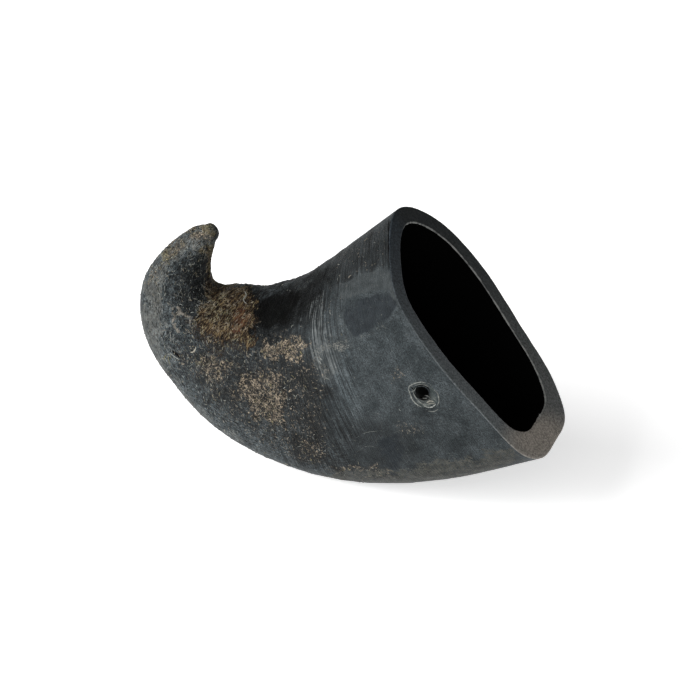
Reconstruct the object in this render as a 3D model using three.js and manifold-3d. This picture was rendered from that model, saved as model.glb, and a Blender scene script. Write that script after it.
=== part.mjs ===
import * as THREE from 'three';
import { mergeVertices } from 'three/addons/utils/BufferGeometryUtils.js';
import Module from 'manifold-3d';

// A short buffalo horn, grown in one piece, sawn off at its root and drilled once through
// the wall. Millimetres, +Z up, origin under the middle of its box.
//
// The horn is drawn in a frame of its own: x runs from the tip to the mouth, y points to
// the hollow of the curl and z stands off the broad face. It is then leaned back onto its
// belly, and lies there by itself.

// Stations from beyond the saw cut to the tip. `at` is the middle of the section, `tall`
// its size in the plane of the curl and `thick` its size across that plane. `round` runs
// from 0, the three-cornered section of the root, to 1, an oval. `turn` is the twist of
// the section about the horn's own line, in degrees.
const STATIONS = [
  { at: [62.5, 15.2, 20.1], tall: 105, thick: 63, round: 0, turn: 0 },
  { at: [42.5, 6.2, 4.1], tall: 99, thick: 61, round: 0, turn: 0 },
  { at: [20.5, -3, -8], tall: 90.5, thick: 58, round: 0.05, turn: 1 },
  { at: [-1, -8.3, -20.5], tall: 79.5, thick: 53, round: 0.1, turn: 2 },
  { at: [-19, -8, -30], tall: 69, thick: 47, round: 0.15, turn: 4 },
  { at: [-35.5, -3.5, -37], tall: 58.5, thick: 41, round: 0.2, turn: 7 },
  { at: [-48, 4, -40], tall: 47.5, thick: 34, round: 0.3, turn: 12 },
  { at: [-58, 13.2, -40], tall: 37, thick: 28, round: 0.4, turn: 18 },
  { at: [-61.2, 23.5, -37], tall: 27, thick: 22, round: 0.5, turn: 22 },
  { at: [-57.8, 33, -32], tall: 17.5, thick: 15.5, round: 0.7, turn: 24 },
  { at: [-52.5, 39.8, -27], tall: 10.5, thick: 10, round: 0.9, turn: 25 },
  { at: [-49.5, 41.8, -25], tall: 6.8, thick: 6.5, round: 1, turn: 25 },
];
const TIP_CAP = 2.6;
const TIP_CAP_STEPS = [0.5, 0.8, 0.95];

// The normal of the plane that the horn curls in, on the side away from the broad face.
const CURL_NORMAL = new THREE.Vector3(0.43, 0.35, -0.83).normalize();

// The root section, in halves of its height (first, towards the hollow of the curl) and of
// its thickness (second, away from the broad face).
const ROOT_SECTION = [
  [1.01, 0.1], [0.95, 0.48], [0.68, 0.85], [0.3, 1.0], [-0.2, 0.96], [-0.62, 0.88],
  [-0.87, 0.64], [-0.95, 0.15], [-0.96, -0.3], [-0.83, -0.61], [-0.45, -0.82],
  [0.0, -0.99], [0.48, -0.96], [0.8, -0.52],
];

// The saw cut at the root: a point of the cut face and the normal of that face.
const CUT_POINT = new THREE.Vector3(41, 5, 7);
const CUT_NORMAL = new THREE.Vector3(0.7, 0.44, 0.55).normalize();

// The cavity that the bony core left: its share of the section, how far its middle lies
// off the middle of the horn, where along the stations it ends and how it closes there.
const CAVITY_TALL = 0.875;
const CAVITY_THICK = 0.82;
const CAVITY_TO_HOLLOW = 2.9;
const CAVITY_TO_BROAD = 0.3;
const CAVITY_END = 0.35;
const CAVITY_TAPER = 0.7;

// The drilled hole: its middle on the broad face, its diameter and the reach of the bit.
const DRILL_POINT = new THREE.Vector3(28.4, -11.2, 14);
const DRILL_DIAMETER = 4.5;
const DRILL_REACH = 24;
const DRILL_SIDES = 20;

// How the horn leans back to where it lies, in degrees, and how deep its belly is rasped
// flat there.
const LEAN_BACK = 57;
const SEAT_DEPTH = 1.5;

// A block larger than the horn, for what the saw and the rasp take away.
const WASTE_BLOCK = 200;

// The share of the horn's stations over which its direction is taken.
const EVEN_STRETCH = 0.05;

const AROUND = 48;
const ALONG = 64;
const CAVITY_AROUND = 36;
const CAVITY_ALONG = 20;

const X = new THREE.Vector3(1, 0, 0);
const Y = new THREE.Vector3(0, 1, 0);
const Z = new THREE.Vector3(0, 0, 1);

// A smooth graph through one value for each station.
function graph(values) {
  const points = values.map((value, i) => new THREE.Vector3(i, value, 0));
  const curve = new THREE.CatmullRomCurve3(points, false, 'catmullrom');
  return (t) => curve.getPoint(t).y;
}

const centreline = new THREE.CatmullRomCurve3(STATIONS.map((s) => new THREE.Vector3(...s.at)));
const tallAt = graph(STATIONS.map((s) => s.tall));
const thickAt = graph(STATIONS.map((s) => s.thick));
const roundAt = graph(STATIONS.map((s) => s.round));
const turnAt = graph(STATIONS.map((s) => s.turn));

const rootSection = new THREE.CatmullRomCurve3(
  ROOT_SECTION.map(([tall, thick]) => new THREE.Vector3(tall, thick, 0)),
  true,
);

// The direction of the horn at t, taken over a stretch so that the sections turn evenly.
function directionAt(t) {
  const ahead = centreline.getPoint(Math.min(t + EVEN_STRETCH, 1));
  return ahead.sub(centreline.getPoint(Math.max(t - EVEN_STRETCH, 0))).normalize();
}

// The axes of the section at t: towards the hollow of the curl and off the broad face.
function sectionAxes(t) {
  const along = directionAt(t);
  const hollow = new THREE.Vector3().crossVectors(CURL_NORMAL, along).normalize();
  hollow.applyAxisAngle(along, THREE.MathUtils.degToRad(turnAt(t)));
  const away = new THREE.Vector3().crossVectors(along, hollow);
  return { hollow, away };
}

// A point of the section's outline, with half sizes of 1, at a share of the way round.
function outlinePoint(share, round) {
  const corner = rootSection.getPoint(share);
  const angle = Math.atan2(corner.y, corner.x);
  return corner.lerp(new THREE.Vector3(Math.cos(angle), Math.sin(angle), 0), round);
}

// The points of one section at t. `tall` and `thick` are shares of the horn's own size,
// and `toHollow` and `toBroad` move the section off the centreline.
function ring(t, count, { tall = 1, thick = 1, toHollow = 0, toBroad = 0 } = {}) {
  const { hollow, away } = sectionAxes(t);
  const halfTall = tallAt(t) * tall / 2;
  const halfThick = thickAt(t) * thick / 2;
  return Array.from({ length: count }, (_, i) => {
    const outline = outlinePoint(i / count, roundAt(t));
    return centreline.getPoint(t)
      .addScaledVector(hollow, outline.x * halfTall + toHollow)
      .addScaledVector(away, outline.y * halfThick - toBroad);
  });
}

// A closed skin over a row of rings, between a point before the first and one after the last.
function skin(start, rings, end) {
  const count = rings[0].length;
  const lastRing = 1 + (rings.length - 1) * count;
  const indices = [];
  for (let i = 0; i < count; i += 1) {
    const next = (i + 1) % count;
    indices.push(0, 1 + next, 1 + i);
    indices.push(lastRing + i, lastRing + next, lastRing + count);
    for (let low = 1; low < lastRing; low += count) {
      const high = low + count;
      indices.push(low + i, low + next, high + next);
      indices.push(low + i, high + next, high + i);
    }
  }
  const geometry = new THREE.BufferGeometry().setFromPoints([start, ...rings.flat(), end]);
  geometry.setIndex(indices);
  return geometry;
}

function outerSkin() {
  const rings = [];
  for (let step = 0; step <= ALONG; step += 1) {
    rings.push(ring(step / ALONG, AROUND));
  }
  const reach = centreline.getTangent(1).multiplyScalar(TIP_CAP);
  for (const share of TIP_CAP_STEPS) {
    const shrink = Math.sqrt(1 - share ** 2);
    const cap = ring(1, AROUND, { tall: shrink, thick: shrink });
    rings.push(cap.map((point) => point.addScaledVector(reach, share)));
  }
  return skin(centreline.getPoint(0), rings, centreline.getPoint(1).add(reach));
}

function cavitySkin() {
  const rings = [];
  for (let step = 0; step < CAVITY_ALONG; step += 1) {
    const share = step / CAVITY_ALONG;
    const shrink = (1 - share ** 2) ** CAVITY_TAPER;
    rings.push(ring(CAVITY_END * share, CAVITY_AROUND, {
      tall: CAVITY_TALL * shrink,
      thick: CAVITY_THICK * shrink,
      toHollow: CAVITY_TO_HOLLOW,
      toBroad: CAVITY_TO_BROAD,
    }));
  }
  return skin(centreline.getPoint(0), rings, centreline.getPoint(CAVITY_END));
}

// A block with one face through `point`, standing on the side that `normal` points to.
function wasteBlock(point, normal) {
  const block = new THREE.BoxGeometry(WASTE_BLOCK, WASTE_BLOCK, WASTE_BLOCK);
  block.translate(0, 0, WASTE_BLOCK / 2);
  block.applyQuaternion(new THREE.Quaternion().setFromUnitVectors(Z, normal));
  return block.translate(point.x, point.y, point.z);
}

// What the rasp takes off the belly, so that the horn lies on a small flat.
function seatWaste(surface) {
  const down = Z.clone().negate().applyAxisAngle(X, -THREE.MathUtils.degToRad(LEAN_BACK));
  const positions = surface.attributes.position;
  const point = new THREE.Vector3();
  let lowest = -Infinity;
  for (let i = 0; i < positions.count; i += 1) {
    lowest = Math.max(lowest, point.fromBufferAttribute(positions, i).dot(down));
  }
  return wasteBlock(down.clone().multiplyScalar(lowest - SEAT_DEPTH), down);
}

function drillBit() {
  const radius = DRILL_DIAMETER / 2;
  const bit = new THREE.CylinderGeometry(radius, radius, DRILL_REACH, DRILL_SIDES);
  bit.applyQuaternion(new THREE.Quaternion().setFromUnitVectors(Y, CURL_NORMAL));
  return bit.translate(DRILL_POINT.x, DRILL_POINT.y, DRILL_POINT.z);
}

const wasm = await Module();
wasm.setup();

function toSolid(geometry) {
  geometry.deleteAttribute('normal');
  geometry.deleteAttribute('uv');
  const merged = mergeVertices(geometry);
  return new wasm.Manifold(new wasm.Mesh({
    numProp: 3,
    vertProperties: new Float32Array(merged.attributes.position.array),
    triVerts: new Uint32Array(merged.index.array),
  }));
}

function toGeometry(solid) {
  const mesh = solid.getMesh();
  const geometry = new THREE.BufferGeometry();
  geometry.setAttribute('position', new THREE.BufferAttribute(mesh.vertProperties, 3));
  geometry.setIndex(new THREE.BufferAttribute(mesh.triVerts, 1));
  return geometry;
}

function makeHorn() {
  const outside = outerSkin();
  const solid = toSolid(outside)
    .subtract(toSolid(cavitySkin()))
    .subtract(toSolid(wasteBlock(CUT_POINT, CUT_NORMAL)))
    .subtract(toSolid(seatWaste(outside)))
    .subtract(toSolid(drillBit()));
  const keratin = new THREE.MeshStandardMaterial({
    color: 0x3f4245,
    roughness: 0.55,
    metalness: 0,
  });
  const horn = new THREE.Mesh(toGeometry(solid), keratin);
  horn.name = 'horn';
  horn.rotation.x = THREE.MathUtils.degToRad(LEAN_BACK);
  const box = new THREE.Box3().setFromObject(horn, true);
  const middle = box.getCenter(new THREE.Vector3());
  horn.position.set(-middle.x, -middle.y, -box.min.z);
  return horn;
}

const group = new THREE.Group();
group.add(makeHorn());

export default group;
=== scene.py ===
# %% [markdown]
# # A buffalo horn, from its growth to its finish
#
# A buffalo horn is one sheath of keratin, the stuff of nails and hooves. It grows outward
# from the root in rings, curls and twists as it goes, and ends in a solid tip. This one was
# sawn off at the root, its bony core was taken out, and one hole was drilled through the
# wall. The lesson builds it the way it grew: a line, a section that travels along the line,
# two cuts, a skin of small relief, and then the colours of scraped and weathered keratin.
#
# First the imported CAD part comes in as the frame. Its box is kept, because the finished horn
# has to fit in it.

import math

import bmesh
import bpy
import numpy as np
from mathutils import Matrix, Vector, noise
from mathutils.bvhtree import BVHTree


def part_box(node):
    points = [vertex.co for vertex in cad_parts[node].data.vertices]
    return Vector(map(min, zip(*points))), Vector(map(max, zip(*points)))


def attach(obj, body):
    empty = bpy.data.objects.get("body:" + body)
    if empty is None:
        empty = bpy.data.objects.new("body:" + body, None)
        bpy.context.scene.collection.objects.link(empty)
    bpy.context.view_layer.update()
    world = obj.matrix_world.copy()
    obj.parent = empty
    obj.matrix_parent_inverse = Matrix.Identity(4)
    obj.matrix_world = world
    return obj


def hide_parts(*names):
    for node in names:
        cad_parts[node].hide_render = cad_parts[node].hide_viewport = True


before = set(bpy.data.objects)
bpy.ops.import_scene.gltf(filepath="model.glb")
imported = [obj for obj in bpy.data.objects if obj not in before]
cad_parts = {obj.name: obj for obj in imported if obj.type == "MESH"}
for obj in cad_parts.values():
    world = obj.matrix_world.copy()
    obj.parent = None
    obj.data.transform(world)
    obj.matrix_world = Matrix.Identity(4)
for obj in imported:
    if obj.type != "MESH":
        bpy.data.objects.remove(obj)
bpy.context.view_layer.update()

# %% [markdown]
# ## The line that the horn grew along
#
# A horn could be sculpted from a cylinder, but its rings and fibres all follow its growth, and
# a sculpted mesh forgets where that was. So the horn is a loft: every point of the wall has a
# place along the horn, from 0 beyond the saw cut to 1 at the tip, and a share of the way round
# it. Relief and colour can then follow the growth anywhere on the horn.
#
# The curve through the stations is a Catmull-Rom curve. It passes through every station, so
# the stations can be read as sizes of the real horn, in millimetres.

# %% A smooth curve through points


def unit(vectors):
    return vectors / np.linalg.norm(vectors, axis=-1, keepdims=True)


def spline(points, places, closed=False, even=True):
    """The Catmull-Rom curve through points, read at places from 0 to 1."""
    points = np.asarray(points, float)
    count = len(points)
    steps = np.asarray(places, float) * (count if closed else count - 1)
    first = np.floor(steps).astype(int)
    if closed:
        a, b, c, d = (points[(first + step) % count] for step in (-1, 0, 1, 2))
    else:
        first = np.clip(first, 0, count - 2)
        padded = np.vstack([2 * points[0] - points[1], points, 2 * points[-1] - points[-2]])
        a, b, c, d = (padded[first + step] for step in range(4))
    before = here = after = 1.0
    if even:
        legs = b - a, c - b, d - c
        before, here, after = (np.sqrt(np.linalg.norm(leg, axis=-1, keepdims=True)) for leg in legs)
    start = ((b - a) / before - (c - a) / (before + here) + (c - b) / here) * here
    end = ((c - b) / here - (d - b) / (here + after) + (d - c) / after) * here
    square = 3 * (c - b) - 2 * start - end
    cube = 2 * (b - c) + start + end
    weight = (steps - first)[..., None]
    return b + weight * (start + weight * (square + weight * cube))


# %% The stations of the horn, in millimetres
# Where the middle of the section is, how tall and thick it is, how round, and its twist.
STATIONS = [
    # middle, tall, thick, round, turn in degrees
    ((62.5, 15.2, 20.1), 105, 63, 0, 0),
    ((42.5, 6.2, 4.1), 99, 61, 0, 0),
    ((20.5, -3, -8), 90.5, 58, 0.05, 1),
    ((-1, -8.3, -20.5), 79.5, 53, 0.1, 2),
    ((-19, -8, -30), 69, 47, 0.15, 4),
    ((-35.5, -3.5, -37), 58.5, 41, 0.2, 7),
    ((-48, 4, -40), 47.5, 34, 0.3, 12),
    ((-58, 13.2, -40), 37, 28, 0.4, 18),
    ((-61.2, 23.5, -37), 27, 22, 0.5, 22),
    ((-57.8, 33, -32), 17.5, 15.5, 0.7, 24),
    ((-52.5, 39.8, -27), 10.5, 10, 0.9, 25),
    ((-49.5, 41.8, -25), 6.8, 6.5, 1, 25),
]
MIDDLES, TALL, THICK, ROUND, TURN = zip(*STATIONS)
CURL_NORMAL = unit(np.array([0.43, 0.35, -0.83]))
EVEN_STRETCH = 0.05

# The root section: towards the hollow of the curl, then away from the broad face.
ROOT_SECTION = [
    (1.01, 0.1), (0.95, 0.48), (0.68, 0.85), (0.3, 1.0), (-0.2, 0.96), (-0.62, 0.88),
    (-0.87, 0.64), (-0.95, 0.15), (-0.96, -0.3), (-0.83, -0.61), (-0.45, -0.82),
    (0.0, -0.99), (0.48, -0.96), (0.8, -0.52),
]
print(len(STATIONS), "stations and", len(ROOT_SECTION), "corners of the root section")

# %% The wall at any place along the horn and round it


def graph(values, places):
    """A smooth graph through one value for each station."""
    return spline([[value] for value in values], places, even=False)


def wall(place, share, tall=1.0, thick=1.0, to_hollow=0.0, to_broad=0.0):
    """The point of the horn's wall at a place along it and a share of the way round it."""
    ahead = spline(MIDDLES, np.minimum(place + EVEN_STRETCH, 1))
    along = unit(ahead - spline(MIDDLES, np.maximum(place - EVEN_STRETCH, 0)))
    hollow = unit(np.cross(CURL_NORMAL, along))
    turn = np.radians(graph(TURN, place))
    hollow = hollow * np.cos(turn) + np.cross(along, hollow) * np.sin(turn)
    away = np.cross(along, hollow)
    corner = spline(ROOT_SECTION, share, closed=True)
    outline = corner + (unit(corner) - corner) * graph(ROUND, place)
    up = outline[..., :1] * graph(TALL, place) / 2 * tall + to_hollow
    off = outline[..., 1:] * graph(THICK, place) / 2 * thick - to_broad
    return spline(MIDDLES, place) + hollow * up + away * off


grown = np.linalg.norm(np.diff(spline(MIDDLES, np.linspace(0, 1, 401)), axis=0), axis=1)
print(f"the line of growth is {grown.sum():.0f} mm long")

# %% [markdown]
# ## The cavity and the saw cut
#
# The hollow is where the bony core sat. It is the same loft, a little smaller, and it closes
# as it goes deeper. The saw cut is a plane. Each line of growth, inside and outside, starts
# where it meets that plane, so the mouth's edge is made of the mesh's own edges and stays
# sharp. A boolean cut would leave long thin faces there, and those shade badly.

# %% The cavity, and where each line of growth meets the saw cut
CUT_POINT = np.array([41.0, 5.0, 7.0])
CUT_NORMAL = unit(np.array([0.7, 0.44, 0.55]))
CAVITY_TALL = 0.875
CAVITY_THICK = 0.82
CAVITY_TO_HOLLOW = 2.9
CAVITY_TO_BROAD = 0.3
CAVITY_END = 0.35
CAVITY_TAPER = 0.7
HALVINGS = 40


def cavity(depth, share):
    """The point of the cavity's wall at a depth from 0 to 1 and a share of the way round."""
    shrink = (1 - depth[..., None] ** 2) ** CAVITY_TAPER
    tall, thick = CAVITY_TALL * shrink, CAVITY_THICK * shrink
    return wall(depth * CAVITY_END, share, tall, thick, CAVITY_TO_HOLLOW, CAVITY_TO_BROAD)


def meets_cut(skin, share, deepest):
    """The place where each line of growth of a skin goes through the saw cut, by halving."""
    low = np.zeros_like(share)
    high = np.full_like(share, deepest)
    for _ in range(HALVINGS):
        middle = (low + high) / 2
        beyond = (skin(middle, share) - CUT_POINT) @ CUT_NORMAL > 0
        low = np.where(beyond, middle, low)
        high = np.where(beyond, high, middle)
    return (low + high) / 2


AROUND = 288
shares = np.arange(AROUND) / AROUND
outside_cut = meets_cut(wall, shares, 0.3)
cavity_cut = meets_cut(cavity, shares, 0.8)
mouth = wall(outside_cut, shares)
print(f"the saw cut is {np.linalg.norm(mouth[:, None] - mouth[None], axis=-1).max():.1f} mm at its longest")

# %% [markdown]
# ## One grid from the bottom of the cavity to the tip
#
# The rings run from the deep end of the cavity to its mouth, across the sawn rim and along
# the outside to the tip. They all have the same number of points, so one grid covers the
# whole horn and it closes at its two ends. Both edges of the rim get a narrow bevel of
# 0.3 mm, because no sawn edge of horn is a perfect corner and the bevel catches light.

# %% Rings of the cavity
CAVITY, RIM, OUTSIDE, BORE, SMUDGED_AND_SHADED, SOOTY_AND_SHADED = range(6)
CAVITY_RINGS = 34
RIM_RINGS = 12
OUTSIDE_RINGS = 228
BEVEL = 0.3
TIP_CAP = 2.6
TIP_CAP_STEPS = [0.25, 0.45, 0.62, 0.76, 0.87, 0.95]

rings = []


def add_ring(points, places, region):
    rings.append((points, np.broadcast_to(places, shares.shape), np.full(AROUND, region)))


depth_steps = np.linspace(1, 0, CAVITY_RINGS, endpoint=False) ** 1.3
for step in depth_steps[1:]:
    depths = cavity_cut + (1 - cavity_cut) * step
    add_ring(cavity(depths, shares), depths * CAVITY_END, CAVITY)
print(len(rings), "rings in the cavity")

# %% Rings across the rim, along the outside and over the tip
inner_edge = cavity(cavity_cut, shares)
across = unit(mouth - inner_edge)
add_ring(inner_edge - CUT_NORMAL * BEVEL, cavity_cut * CAVITY_END, CAVITY)
rim_start = inner_edge + across * BEVEL
rim_end = mouth - across * BEVEL
for step in np.linspace(0, 1, RIM_RINGS):
    add_ring(rim_start + (rim_end - rim_start) * step, outside_cut, RIM)

edge_step = BEVEL / grown.sum()
for step in np.linspace(edge_step, 1, OUTSIDE_RINGS):
    places = outside_cut + (1 - outside_cut) * step
    add_ring(wall(places, shares), places, OUTSIDE)

tip_reach = unit(spline(MIDDLES, np.array(1.0)) - spline(MIDDLES, np.array(0.999))) * TIP_CAP
for step in TIP_CAP_STEPS:
    shrink = math.sqrt(1 - step**2)
    add_ring(wall(np.ones(AROUND), shares, shrink, shrink) + tip_reach * step, 1.0, OUTSIDE)

points = np.concatenate([ring[0] for ring in rings] + [
    rings[0][0].mean(axis=0, keepdims=True),
    spline(MIDDLES, np.array([1.0])) + tip_reach,
])
places = np.concatenate([ring[1] for ring in rings] + [np.array([CAVITY_END, 1.0])])
around = np.concatenate([np.tile(shares, len(rings)), np.zeros(2)])
regions = np.concatenate([ring[2] for ring in rings] + [np.array([CAVITY, OUTSIDE])])
grid = np.arange(len(rings) * AROUND).reshape(len(rings), AROUND)
print(len(rings), "rings of", AROUND, "points")

# %% [markdown]
# ## The drilled hole
#
# A boolean would cut the hole too, but it would leave a ragged fan of faces just where the
# chipped edge needs an even mesh. Instead a window is taken out of the grid, outside and in
# the cavity, and the gap between the window and the bit's circle is filled with rings of
# points that stay on the surface. A few steps of Newton's method find where the bit's wall
# goes through the surface.

# %% Where the bit goes through a skin
DRILL_POINT = np.array([28.4, -11.2, 14.0])
DRILL_RADIUS = 2.25
side = unit(np.cross(CURL_NORMAL, [0, 1, 0]))
drill_axes = np.stack([side, np.cross(CURL_NORMAL, side)], axis=1)
# The far wall of the horn lies beyond this reach, in millimetres, and stays whole.
DRILL_REACH = 20
NEWTON_STEPS = 10
TINY = 1e-4
print(f"the bit is {2 * DRILL_RADIUS} mm wide")


def seen_along_bit(points):
    return (points - DRILL_POINT) @ drill_axes


def solve_on_skin(skin, place, share, target):
    """The place and share of a skin that lie at target, seen along the bit."""
    for _ in range(NEWTON_STEPS):
        here = seen_along_bit(skin(place, share))
        per_place = (seen_along_bit(skin(place + TINY, share)) - here) / TINY
        per_share = (seen_along_bit(skin(place, share + TINY)) - here) / TINY
        gap = target - here
        area = per_place[:, 0] * per_share[:, 1] - per_place[:, 1] * per_share[:, 0]
        place = place + (gap[:, 0] * per_share[:, 1] - gap[:, 1] * per_share[:, 0]) / area
        share = share + (per_place[:, 0] * gap[:, 1] - per_place[:, 1] * gap[:, 0]) / area
    return place, share


# %% Room for the points round the hole
new_points = [points]
new_places = [places]
new_around = [around]
new_regions = [regions]
removed = np.zeros(len(points), bool)


def add_loop(loop_points, loop_places, loop_shares, region):
    start = sum(len(part) for part in new_points)
    new_points.append(loop_points)
    new_places.append(loop_places)
    new_around.append(loop_shares)
    new_regions.append(np.full(len(loop_points), region))
    return np.arange(start, start + len(loop_points))


# %% Open a window in the grid and fill it up to the bit's circle


def open_window(skin, region, own_place, rows, columns, ring_count, angles=None):
    """Loops of points from the window's border in to the bit's circle, and the circle's angles."""
    facing = (regions == region) & ((points - DRILL_POINT) @ CURL_NORMAL < DRILL_REACH)
    far = np.where(facing, np.linalg.norm(seen_along_bit(points), axis=1), np.inf)
    row, column = divmod(int(far.argmin()), AROUND)
    block = grid[row - rows:row + rows + 1, column - columns:column + columns + 1]
    removed[block[1:-1, 1:-1]] = True
    border = np.concatenate([block[0], block[-1], block[1:-1, 0], block[1:-1, -1]])
    flat = seen_along_bit(points[border])
    turn = np.arctan2(flat[:, 1], flat[:, 0])
    order = turn.argsort()
    border, turn = border[order], turn[order]
    if angles is None:
        angles = turn
    circle = DRILL_RADIUS * np.stack([np.cos(angles), np.sin(angles)], axis=1)
    border_place = own_place(places[border])
    middle = np.full(len(border), own_place(places[grid[row, column]]))
    circle_place, circle_share = solve_on_skin(skin, middle, np.full(len(border), shares[column]), circle)
    loops = [border]
    for step in np.linspace(1, 0, ring_count + 1)[1:]:
        inward = step**1.35
        loop_place = circle_place + (border_place - circle_place) * inward
        loop_share = circle_share + (around[border] - circle_share) * inward
        along = loop_place * places[border].mean() / border_place.mean()
        loops.append(add_loop(skin(loop_place, loop_share), along, loop_share, region))
    return loops, angles


outer_loops, hole_angles = open_window(
    wall, OUTSIDE, lambda place: place, rows=11, columns=8, ring_count=20
)
inner_loops, _ = open_window(
    cavity, CAVITY, lambda place: place / CAVITY_END, rows=5, columns=14, ring_count=4, angles=hole_angles
)
print(removed.sum(), "points of the grid make room for loops of", len(hole_angles))

# %% The bore between the two circles
BORE_STEPS = 8
all_points = np.concatenate(new_points)
outer_circle, inner_circle = all_points[outer_loops[-1]], all_points[inner_loops[-1]]
bore_loops = []
for step in np.linspace(0, 1, BORE_STEPS + 1)[1:-1]:
    bore = outer_circle + (inner_circle - outer_circle) * step
    bore_loops.append(add_loop(
        bore, np.concatenate(new_places)[outer_loops[-1]], np.concatenate(new_around)[outer_loops[-1]], BORE
    ))
loops = outer_loops + bore_loops + inner_loops[::-1]
points = np.concatenate(new_points)
places = np.concatenate(new_places)
around = np.concatenate(new_around) % 1
regions = np.concatenate(new_regions)
removed = np.concatenate([removed, np.zeros(len(points) - len(removed), bool)])
thickness = np.linalg.norm(outer_circle - inner_circle, axis=1).mean()
print(f"the wall is {thickness:.1f} mm thick at the drilled hole")

# %% Faces of the grid, its two ends and the hole
low, high = grid[:-1], grid[1:]
quads = np.stack([low, np.roll(low, -1, 1), np.roll(high, -1, 1), high], axis=-1).reshape(-1, 4)
quads = quads[~removed[quads].any(axis=1)]
strips = np.concatenate([
    np.stack([near, np.roll(near, -1), np.roll(far, -1), far], axis=-1) for near, far in zip(loops, loops[1:])
])


def faces_bit(faces):
    """The area of each face seen along the bit, negative for a face that turns its back."""
    corner = points[faces]
    return np.cross(corner[:, 2] - corner[:, 0], corner[:, 3] - corner[:, 1]) @ CURL_NORMAL


at_window = np.isin(quads, outer_loops[0]).any(axis=1)
if faces_bit(quads[at_window]).sum() * faces_bit(strips[: len(outer_loops[0])]).sum() < 0:
    strips = strips[:, ::-1]
quads = np.concatenate([quads, strips])
start_pole, end_pole = grid.size, grid.size + 1
first_ring, last_ring = grid[0], grid[-1]
fans = np.concatenate([
    np.stack([np.full(AROUND, start_pole), np.roll(first_ring, -1), first_ring], axis=-1),
    np.stack([last_ring, np.roll(last_ring, -1), np.full(AROUND, end_pole)], axis=-1),
])
print(len(quads), "quads and", len(fans), "triangles")

# %% [markdown]
# ## Lay it down in the shared frame
#
# The stations are drawn in a frame of the horn's own, seen square on to its broad face. The
# real horn lies on its belly, leaned back by 57 degrees. The CAD box says where that is, so
# the shift is worked out from the box and nothing is fitted by eye.

# %% From the drawing to the frame, in millimetres
LEAN_BACK = math.radians(57)
SEAT_DEPTH = 1.5
lean = np.array(Matrix.Rotation(LEAN_BACK, 3, "X"))
low_corner, high_corner = (np.array(corner) * 1000 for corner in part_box("horn"))
leaned = points @ lean.T
shift = (low_corner + high_corner) / 2 - (leaned.min(axis=0) + leaned.max(axis=0)) / 2
shift[2] = low_corner[2] - leaned[:, 2].min() - SEAT_DEPTH


def to_frame(drawn):
    return np.asarray(drawn) @ lean.T + shift


print("shift, mm:", shift.round(2))

# %% [markdown]
# ## Names for places on the horn
#
# Scars, stains and chips sit at places that are easiest to point at on a drawing of the front.
# The drawing has a grid of 0.35 mm, counted to the right and down from its upper left corner,
# with 350, 350 in its middle. An area is an outline on that drawing, and a trail is a line on
# it. Both are laid on the wall that is seen there, so that they don't stain the far side.

# %% From the drawing's grid to the wall
EYE = np.array([0.0, 0.0, 990.0])
DRAWING_PLANE = -10.0
DRAWING_UNIT = 0.35
DRAWING_MIDDLE = 350


def normals_of(all_points):
    """The outward normals of the points, from the faces around each."""
    sums = np.zeros_like(all_points)
    corner = [all_points[quads[:, i]] for i in range(4)]
    face = np.cross(corner[2] - corner[0], corner[3] - corner[1])
    for i in range(4):
        np.add.at(sums, quads[:, i], face)
    corner = [all_points[fans[:, i]] for i in range(3)]
    face = np.cross(corner[1] - corner[0], corner[2] - corner[0])
    for i in range(3):
        np.add.at(sums, fans[:, i], face)
    length = np.linalg.norm(sums, axis=1, keepdims=True)
    return sums / np.where(length > 0, length, 1)


def ramp(values, start, end):
    """0 up to start, 1 from end on, and smooth between."""
    share = np.clip((values - start) / (end - start), 0, 1)
    return share * share * (3 - 2 * share)


normals = normals_of(points)
to_eye = EYE - points
drawn = points[:, :2] * ((EYE[2] - DRAWING_PLANE) / to_eye[:, 2])[:, None]
drawn = drawn * [1, -1] / DRAWING_UNIT + DRAWING_MIDDLE
outside = (regions == OUTSIDE).astype(float)
front = ramp(np.einsum("ij,ij->i", normals, unit(to_eye)), 0.0, 0.1)
wall_tree = BVHTree.FromPolygons([Vector(point) for point in points], quads.tolist())
print(f"the drawing shows {100 * (front * outside).sum() / outside.sum():.0f} % of the points outside")

# %% Spots, areas and trails on the drawing


def spot(x, y, tree=wall_tree):
    """The point of a surface seen at a place of the drawing."""
    aim = Vector(((x - DRAWING_MIDDLE) * DRAWING_UNIT, (DRAWING_MIDDLE - y) * DRAWING_UNIT, DRAWING_PLANE))
    hit, _, _, _ = tree.ray_cast(Vector(EYE), (aim - Vector(EYE)).normalized())
    if hit is None:
        raise ValueError(f"nothing of the horn is at {x}, {y}")
    return np.array(hit)


def area(corners, soft=4.0, strength=1.0, frayed=1.0):
    """The strength inside an outline of the drawing, fading over soft units at its frayed edge."""
    start = np.array(corners, float)
    leg = np.roll(start, -1, axis=0) - start
    offset = (drawn + frayed * drift)[:, None] - start
    share = np.clip((offset * leg).sum(-1) / (leg * leg).sum(-1), 0, 1)
    distance = np.linalg.norm(offset - share[..., None] * leg, axis=-1).min(axis=1)
    above = offset[..., 1] >= 0
    passes = above != np.roll(above, -1, axis=1)
    sideways = offset[..., 0] * leg[:, 1] - offset[..., 1] * leg[:, 0]
    crossed = passes & ((sideways < 0) == (leg[:, 1] > 0))
    inside = crossed.sum(axis=1) % 2 == 1
    return strength * ramp(np.where(inside, distance, -distance), -soft, soft) * front


def trail(corners, half_width):
    """1 on a line of the drawing laid on the wall, and 0 away from it. Width in millimetres."""
    route = np.array([spot(x, y) for x, y in corners])
    nearest = np.full(len(points), np.inf)
    for start, end in zip(route, route[1:]):
        leg = end - start
        share = np.clip((points - start) @ leg / (leg @ leg), 0, 1)
        nearest = np.minimum(nearest, np.linalg.norm(points - start - share[:, None] * leg, axis=1))
    return np.exp(-((nearest / half_width) ** 2)) * outside


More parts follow.
